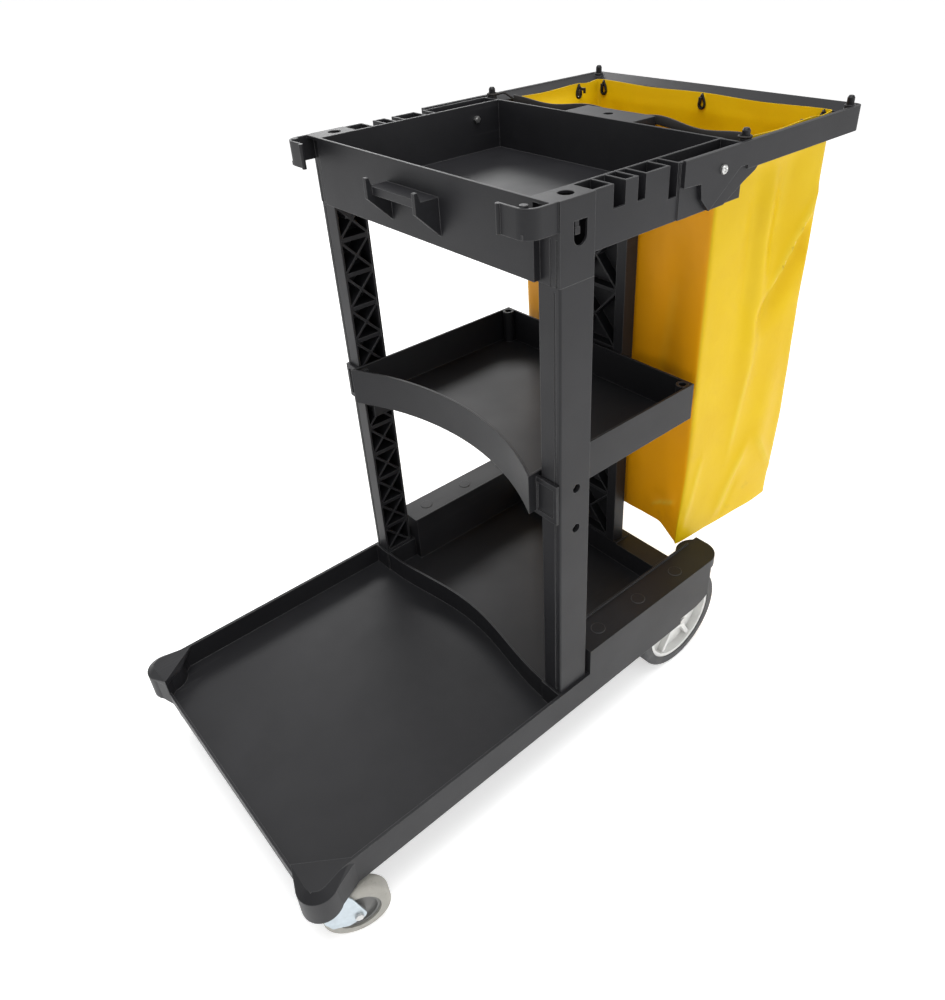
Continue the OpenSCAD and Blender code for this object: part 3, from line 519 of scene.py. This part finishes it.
def relief(p, panel, share, length, z):
    """How far the sheet stands out of its plan at a point, and how strong its creases are there."""
    top, foot = bag_hi.z, bag_lo.z
    edge = smooth_step(0.0, 0.06, share) * (1 - smooth_step(0.94, 1.0, share))
    calm = 1 - smooth_step(top - 0.05, top - 0.012, z)
    low = 1 - smooth_step(foot, foot + 0.22, z)
    depth, mark = 0.0, 0.0
    for crease in CREASES:
        if crease.panel == panel:
            level = crease.at(share, z, length)
            depth += crease.depth * level
            mark += (0.9 if crease.sharp else 0.25) * level * level
    soft = noise.noise(Vector((p.x * 5, p.y * 5, z * 3.2))) * 5 * MM
    small = noise.noise(Vector((p.x * 26, p.y * 26, z * 15))) * 1.2 * MM
    crumple = abs(noise.noise(Vector((p.x * 14 + 3, p.y * 14, z * 12)))) * 5 * MM * low
    belly = math.sin(math.pi * share) * math.sin(math.pi * (z - foot) / (top - foot))
    inward = {"left": -3, "right": -3, "front": 2, "rear": 3}[panel] * MM * belly
    shift = (depth * edge + soft + small + crumple * edge + inward) * calm
    return shift, min(1.0, mark + low * 0.25 * abs(noise.noise(p.to_3d() * 30)))


def shaped_point(p, outward, panel, share, shift, length, z):
    """Where a point of the plan ends up: out by its relief, sagging on top, falling to a tip below."""
    top, foot = bag_hi.z, bag_lo.z
    hem = HEM_T * smooth_step(top - HEM_H - 1.5 * MM, top - HEM_H + 1.5 * MM, z)
    slack = hook_slack(panel, share) * (TOP_SAG if panel != "front" else FRONT_SAG)
    height = z - slack * smooth_step(top - 0.06, top, z)
    point = p + outward * (shift + hem)
    tip, near_foot = foot_tip(panel, share, length), 1 - smooth_step(foot, foot + 0.16, z)
    point += Vector((-EAR_FORWARD, EAR_INWARD if p.y < 0 else -EAR_INWARD)) * tip ** 3 * near_foot
    height += (FOOT_LIFT - (EAR_DROP + FOOT_LIFT) * tip) * near_foot
    return Vector((point.x, point.y, height))


def bag_shell():
    """The bag's sheet: walls from the foot up to the hem, and a bottom, with what its finish reads."""
    top, foot = bag_hi.z, bag_lo.z
    count_z = round((top - foot) / ROW_STEP)
    count = sum(PANEL_COLUMNS)
    middle = Vector(((FRONT_X + REAR_X) / 2, 0))
    verts, layers = [], {"crease": [], "low": [], "front": []}

    def add(point, crease, low, front):
        verts.append(point)
        for name, value in zip(layers, (crease, low, front)):
            layers[name].append(value)

    for r in range(count_z + 1):
        z = mix(foot, top, r / count_z)
        row = bag_row(z)
        low = 1 - smooth_step(foot, foot + 0.22, z)
        for i, (p, panel, share, length) in enumerate(row):
            along = (row[(i + 1) % count][0] - row[i - 1][0]).normalized()
            outward = Vector((along.y, -along.x))
            if outward.dot(p - middle) < 0:
                outward = -outward
            shift, crease = relief(p, panel, share, length, z)
            # the front value below carries a painted shade onto the front panel, faded out at its
            # borders
            border = smooth_step(0.002, 0.016, share) * (1 - smooth_step(0.984, 0.998, share))
            add(shaped_point(p, outward, panel, share, shift, length, z), crease, low,
                0.85 * border if panel == "front" else 0.0)
    faces = []
    for r in range(count_z):
        for i in range(count):
            j = (i + 1) % count
            faces.append((r * count + j, r * count + i, (r + 1) * count + i, (r + 1) * count + j))
    # the bottom closes in rings towards a seam along the middle
    centre = sum((verts[i] for i in range(count)), Vector()) / count
    previous = list(range(count))
    for ring in range(1, BOTTOM_RINGS + 1):
        t = ring / BOTTOM_RINGS
        start = len(verts)
        for i in range(count):
            p = verts[i].lerp(Vector((centre.x, verts[i].y * 0.45 + centre.y * 0.55, centre.z)), t)
            wave = noise.noise(Vector((p.x * 18, p.y * 18, 4.0))) * 3 * MM
            p.z += (4 * MM - 3 * MM * t + wave) * math.sin(math.pi * min(t, 0.5))
            # the bottom gets a little of the painted shade too (front 0.3)
            add(p, 0.15, 1.0, 0.3)
        for i in range(count):
            j = (i + 1) % count
            faces.append((previous[j], start + j, start + i, previous[i]))
        previous = list(range(start, start + count))
    faces.append(tuple(previous))
    return verts, faces, layers


def teardrop(half_w, half_h, steps=28):
    """A drop with its tip up: (across, up) pairs about its middle."""
    turns = [2 * math.pi * i / steps for i in range(steps)]
    return [(1.28 * half_w * math.sin(t) * abs(math.sin(t / 2)) ** 1.4, half_h * math.cos(t))
            for t in turns]


def hook_boxes():
    """The box of each hook of the node bag_hooks."""
    places = []
    mesh = bmesh.new()
    mesh.from_mesh(frame["nodes"]["bag_hooks"].data)
    bmesh.ops.remove_doubles(mesh, verts=mesh.verts, dist=0.01 * MM)
    left = set(mesh.verts)
    while left:
        stack, group = [left.pop()], []
        while stack:
            v = stack.pop()
            group.append(v)
            for e in v.link_edges:
                o = e.other_vert(v)
                if o in left:
                    left.remove(o)
                    stack.append(o)
        lo = Vector([min(v.co[k] for v in group) for k in range(3)])
        hi = Vector([max(v.co[k] for v in group) for k in range(3)])
        places.append((lo, hi))
    mesh.free()
    return sorted(places, key=lambda box: tuple(box[0]))


# Each eyelet's two rings: which face, how far out, width and height against the hole, thickness
GROMMETS = [("inner", -BAG_T, 1.42, 1.14, 2.1 * MM), ("outer", 0.4 * MM, 1.12, 1.08, 0.9 * MM)]


def cut_eyelets(bag):
    """Cuts a drop-shaped hole where each hook goes through, and lines it with a dark grommet."""
    grommets = []
    outline = teardrop(4.6 * MM, 10 * MM)
    up = Vector((0, 0, 1))
    for n, (lo, hi) in enumerate(hook_boxes()):
        size = hi - lo
        centre = (lo + hi) / 2
        hole_z = hi.z - 7.5 * MM
        if size.x > size.y:
            wall = Vector((REAR_X - 1 * MM, centre.y, hole_z))
            across, through, outward = Vector((0, 1, 0)), Vector((1, 0, 0)), Vector((1, 0, 0))
        else:
            side = 1 if centre.y > 0 else -1
            share = (centre.x - FRONT_X) / (REAR_X - FRONT_X)
            wall = Vector((centre.x, side * (mix(REAR_Y - 1 * MM, REAR_Y, share) - 1 * MM), hole_z))
            across, through, outward = Vector((1, 0, 0)), Vector((0, 1, 0)), Vector((0, side, 0))
        verts = [wall + across * a + up * b + through * depth
                 for depth in (-25 * MM, 25 * MM) for a, b in outline]
        cutter = add_mesh("eyelet_cutter", verts, skin(2, len(outline), closed=False))
        cut = bag.modifiers.new("eyelet", "BOOLEAN")
        cut.operation = "DIFFERENCE"
        cut.solver = "EXACT"
        cut.object = cutter
        apply_modifiers(bag)
        bpy.data.objects.remove(cutter)
        for face, shift, wide, tall, thick in GROMMETS:
            ring = [wall + across * a * wide + up * b * tall + outward * shift for a, b in outline]
            verts, faces = tube(ring, thick, 8)
            grommets.append(make_piece(f"bag_eyelet_{n + 1}_{face}", verts, faces, PEG))
    return grommets


def make_bag():
    """The hanging bag in place of the CAD's closed one, and its grommets."""
    verts, faces, layers = bag_shell()
    bag = make_piece("bag_sheet", verts, faces, VINYL)
    for name, values in layers.items():
        layer = bag.data.attributes.new(name, "FLOAT", "POINT")
        layer.data.foreach_set("value", values)
    thick = bag.modifiers.new("thick", "SOLIDIFY")
    thick.thickness = BAG_T
    thick.offset = -1
    apply_modifiers(bag)
    grommets = cut_eyelets(bag)
    smooth_faces(bag.data, 50)
    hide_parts("bag")
    return bag, grommets


def make_front_tape():
    """The dark tape on the bag's front edge, which runs round the cap and up to the front pegs."""
    row = bag_row(bag_hi.z)
    path = []
    for p, panel, share, _ in row:
        if panel == "front":
            slack = hook_slack("front", share) * FRONT_SAG
            path.append(Vector((p.x + 0.5 * MM, p.y, bag_hi.z - slack + 2 * MM)))
    corner = row[sum(PANEL_COLUMNS[:4])][0]
    path.append(Vector((corner.x + 0.5 * MM, corner.y, bag_hi.z + 2 * MM)))
    verts = []
    half_h, half_t = 6.5 * MM, 1.9 * MM
    profile = [(-half_t, -half_h), (-half_t, half_h * 0.8), (-half_t * 0.5, half_h),
               (half_t * 0.5, half_h), (half_t, half_h * 0.8), (half_t, -half_h)]
    for i, p in enumerate(path):
        before, after = path[max(i - 1, 0)], path[min(i + 1, len(path) - 1)]
        along = (after - before).normalized()
        out = Vector((along.y, -along.x, 0)).normalized()
        lean = 0.05 * math.sin(i * 0.35)
        for a, b in profile:
            verts.append(p + out * (a + b * lean) + Vector((0, 0, b - half_h * 0.5)))
    faces = skin(len(path), len(profile), closed=False)
    tape = make_piece("bag_front_tape", verts, faces, TAPE)
    smooth_faces(tape.data, 40)
    return tape


# Radius of the loop round its peg, and of the tape itself
LOOP_R = 8.2 * MM
LOOP_T = 1.7 * MM


def make_peg_loops():
    """A short loop of tape from each front corner of the bag over the rail to its peg."""
    loops = []
    for name, side in SIDES.items():
        peg = Vector((pegs_lo.x + 5.5 * MM, side * (pegs_hi.y - 6.5 * MM), frame_top))
        corner = Vector((FRONT_X + 6 * MM, side * (REAR_Y - 1.5 * MM), bag_hi.z))
        at_peg = peg + Vector((9 * MM, -side * 4 * MM, 1.6 * MM))
        # up over the rail, in an arch
        path = []
        for i in range(9):
            t = i / 8
            p = corner.lerp(at_peg, t)
            p.z = mix(corner.z, frame_top + 0.6 * MM, smooth_step(0.0, 0.7, t))
            p.z += 2.2 * MM * math.sin(math.pi * t)
            path.append(p)
        # and round the peg
        start = math.atan2(path[-1].y - peg.y, path[-1].x - peg.x)
        for i in range(15):
            a = start + math.radians(20 + 320 * i / 14) * -side
            path.append(peg + Vector((LOOP_R * math.cos(a), LOOP_R * math.sin(a), 2.0 * MM)))
        verts, faces = tube(path, LOOP_T, 10, closed=False)
        loops.append(make_piece(f"bag_loop_{name}", verts, faces, TAPE))
    return loops


# ---------- small hardware ----------

def dome(centre, outward, radius, height, name):
    """A pan head's crown with a cross recess, on the outer end of a screw or bolt."""
    up = outward.normalized()
    u = up.orthogonal().normalized()
    v = up.cross(u)
    verts = []
    rings, sides = 6, 32
    for r in range(rings):
        t = r / (rings - 1)
        rr, h = radius * math.cos(t * math.pi / 2 * 0.86), height * math.sin(t * math.pi / 2 * 0.86)
        for k in range(sides):
            a = 2 * math.pi * k / sides
            cross = max(abs(math.cos(a * 2)) - 0.80, 0) * 5
            sink = height * 0.9 * cross * smooth_step(0.45, 0.8, t)
            verts.append(centre + up * (h - sink) + (u * math.cos(a) + v * math.sin(a)) * rr)
    faces = skin(rings, sides, closed=False)[:-2]
    verts.append(centre + up * height * 0.15)
    last = (rings - 1) * sides
    for k in range(sides):
        faces.append((last + k, last + (k + 1) % sides, len(verts) - 1))
    faces.append(tuple(range(sides))[::-1])
    piece = make_piece(name, verts, faces, HARDWARE)
    smooth_faces(piece.data, 45)


def make_heads():
    """The crowns on the frame's bolts and the shelf's screws."""
    bolts_lo, bolts_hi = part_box("frame_bolts")
    screws_lo, screws_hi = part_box("shelf_screws")
    bolt_x, bolt_z = (bolts_lo.x + bolts_hi.x) / 2, (bolts_lo.z + bolts_hi.z) / 2
    screw_x, screw_r = (screws_lo.x + screws_hi.x) / 2, 5.75 * MM
    for name, side in SIDES.items():
        outward = Vector((0, side, 0))
        bolt = Vector((bolt_x, side * bolts_hi.y, bolt_z))
        dome(bolt, outward, 5.8 * MM, 2.2 * MM, f"{name}_bolt_crown")
        for n, z in enumerate((screws_lo.z + screw_r, screws_hi.z - screw_r)):
            screw = Vector((screw_x, side * screws_hi.y, z))
            dome(screw, outward, 5.5 * MM, 2.0 * MM, f"{name}_shelf_screw_crown_{n + 1}")


# ---------- stage ----------

CART_MIDDLE = Vector((0.0, 0.0, 0.5))

# name, place, width and height, watts
LIGHTS = [
    ("top_softbox", (-0.2, -0.3, 3.2), (2.0, 2.0), 72),
    ("right_softbox", (1.2, -2.7, 1.5), (1.2, 1.6), 15),
    ("rear_strip", (1.2, 2.6, 2.2), (2.2, 0.7), 40)]

# The picture's viewpoint: place, yaw from +X, pitch down and roll in degrees
CAMERA_PLACE = (-0.69725, -0.88741, 1.22832)
CAMERA_TURN = (50.275, 33.767, 2.945)
CAMERA_LENS = 29.115
CAMERA_SHIFT = (-0.0267, -0.0465)


def add_floor():
    """A plain pale floor that reaches past every view."""
    size = 40.0
    corners = [(-size, -size, 0), (size, -size, 0), (size, size, 0), (-size, size, 0)]
    floor = add_mesh("floor", corners, [(0, 1, 2, 3)])
    f = Finish("floor_paper", (0.93, 0.93, 0.93), 0.9, specular=0.1)
    f.tint(f.ramp(f.noise(0.6, 2.0), [(0.4, 0.0), (0.8, 0.25)]), (0.90, 0.90, 0.905))
    f.shader.inputs["Emission Color"].default_value = (1, 1, 1, 1)
    f.shader.inputs["Emission Strength"].default_value = 0.50
    floor.data.materials.append(f.done())


def add_light(name, place, size, power):
    """A rectangular lamp aimed at the middle of the cart."""
    light = bpy.data.lights.new(name, "AREA")
    light.shape = "RECTANGLE"
    light.size, light.size_y = size
    light.energy = power
    lamp = bpy.data.objects.new(name, light)
    bpy.context.scene.collection.objects.link(lamp)
    lamp.location = place
    lamp.rotation_euler = (CART_MIDDLE - Vector(place)).to_track_quat("-Z", "Y").to_euler()


def add_lights():
    """Soft studio light: a pale surround and three large lamps."""
    world = bpy.data.worlds.new("studio")
    bpy.context.scene.world = world
    world.use_nodes = True
    tree = world.node_tree
    # white at the horizon, as the floor, and greyer overhead
    place = node(tree, "ShaderNodeTexCoord").outputs["Generated"]
    split = node(tree, "ShaderNodeSeparateXYZ")
    fade = node(tree, "ShaderNodeValToRGB")
    low, high = fade.color_ramp.elements
    low.position, low.color = 0.06, (1.05, 1.05, 1.05, 1)
    high.position, high.color = 0.62, (0.46, 0.46, 0.46, 1)
    tree.links.new(place, split.inputs[0])
    tree.links.new(split.outputs["Z"], fade.inputs[0])
    tree.links.new(fade.outputs[0], tree.nodes["Background"].inputs["Color"])
    for name, place, size, power in LIGHTS:
        add_light(name, place, size, power)


def add_camera():
    """The camera at the picture's viewing angle."""
    yaw, pitch, roll = (math.radians(angle) for angle in CAMERA_TURN)
    ahead = Vector((math.cos(yaw), math.sin(yaw), 0))
    forward = ahead * math.cos(pitch) - Vector((0, 0, math.sin(pitch)))
    level = Vector((math.sin(yaw), -math.cos(yaw), 0))
    down = forward.cross(level)
    right = level * math.cos(roll) + down * math.sin(roll)
    down = down * math.cos(roll) - level * math.sin(roll)
    data = bpy.data.cameras.new("camera")
    data.sensor_width = 36
    data.lens = CAMERA_LENS
    data.shift_x, data.shift_y = CAMERA_SHIFT
    camera = bpy.data.objects.new("camera", data)
    bpy.context.scene.collection.objects.link(camera)
    turn = Matrix((right, -down, -forward)).transposed().to_4x4()
    camera.matrix_world = Matrix.Translation(CAMERA_PLACE) @ turn
    bpy.context.scene.camera = camera


add_camera()
add_lights()
add_floor()
bpy.context.scene.view_settings.view_transform = "Standard"

finish_cad_nodes()
bag, grommets = make_bag()
trims = [make_front_tape()] + make_peg_loops() + grommets
make_heads()
